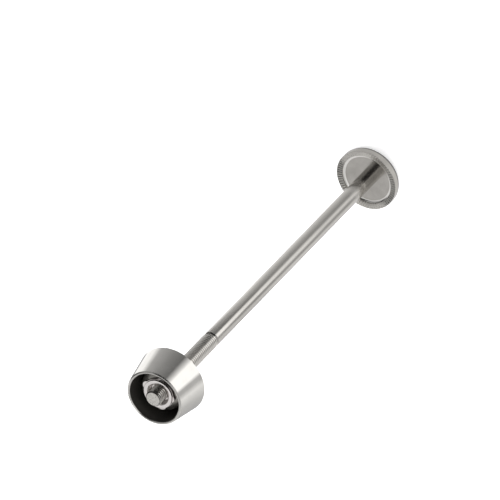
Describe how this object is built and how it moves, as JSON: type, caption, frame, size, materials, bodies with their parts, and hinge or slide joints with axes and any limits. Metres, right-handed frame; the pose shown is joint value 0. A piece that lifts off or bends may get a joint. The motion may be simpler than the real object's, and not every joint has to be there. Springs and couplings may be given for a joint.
{
  "type": "locking wheel skewer",
  "caption": "Long steel wheel skewer with a toothed clamp head, and a coded lock nut that turns on its thread inside a cone-shaped guard cup.",
  "frame": {"origin": "centre of the head's flat back face, which the skewer stands on", "axes": "+Z along the rod from the head to the threaded tip; X and Y are equal"},
  "size_m": [0.0212, 0.0212, 0.1309],
  "materials": {
    "rod_steel": "drawn stainless rod, lightly polished, with a rolled thread",
    "head_steel": "turned stainless steel, satin floor and pressed teeth",
    "cup_steel": "fine turned and polished stainless steel outside, blackened inside",
    "nut_steel": "polished stainless steel"
  },
  "bodies": {
    "rod_and_head": {"skewer_rod": "rod_steel", "head": "head_steel"},
    "cup_body": {"cup": "cup_steel"},
    "nut_body": {"lock_nut": "nut_steel"}
  },
  "joints": [
    {"name": "cup_travel", "type": "slide", "parent": "rod_and_head", "child": "cup_body", "axis": [0, 0, 1], "range_m": [-0.024, 0.0024]},
    {"name": "nut_turn", "type": "hinge", "parent": "cup_body", "child": "nut_body", "pos_m": [0, 0, 0.122], "axis": [0, 0, 1], "range_deg": [-10800, 1080]}
  ],
  "couplings": [
    {"joint": "nut_turn", "follows": "cup_travel", "rad_per_m": 7854}
  ]
}
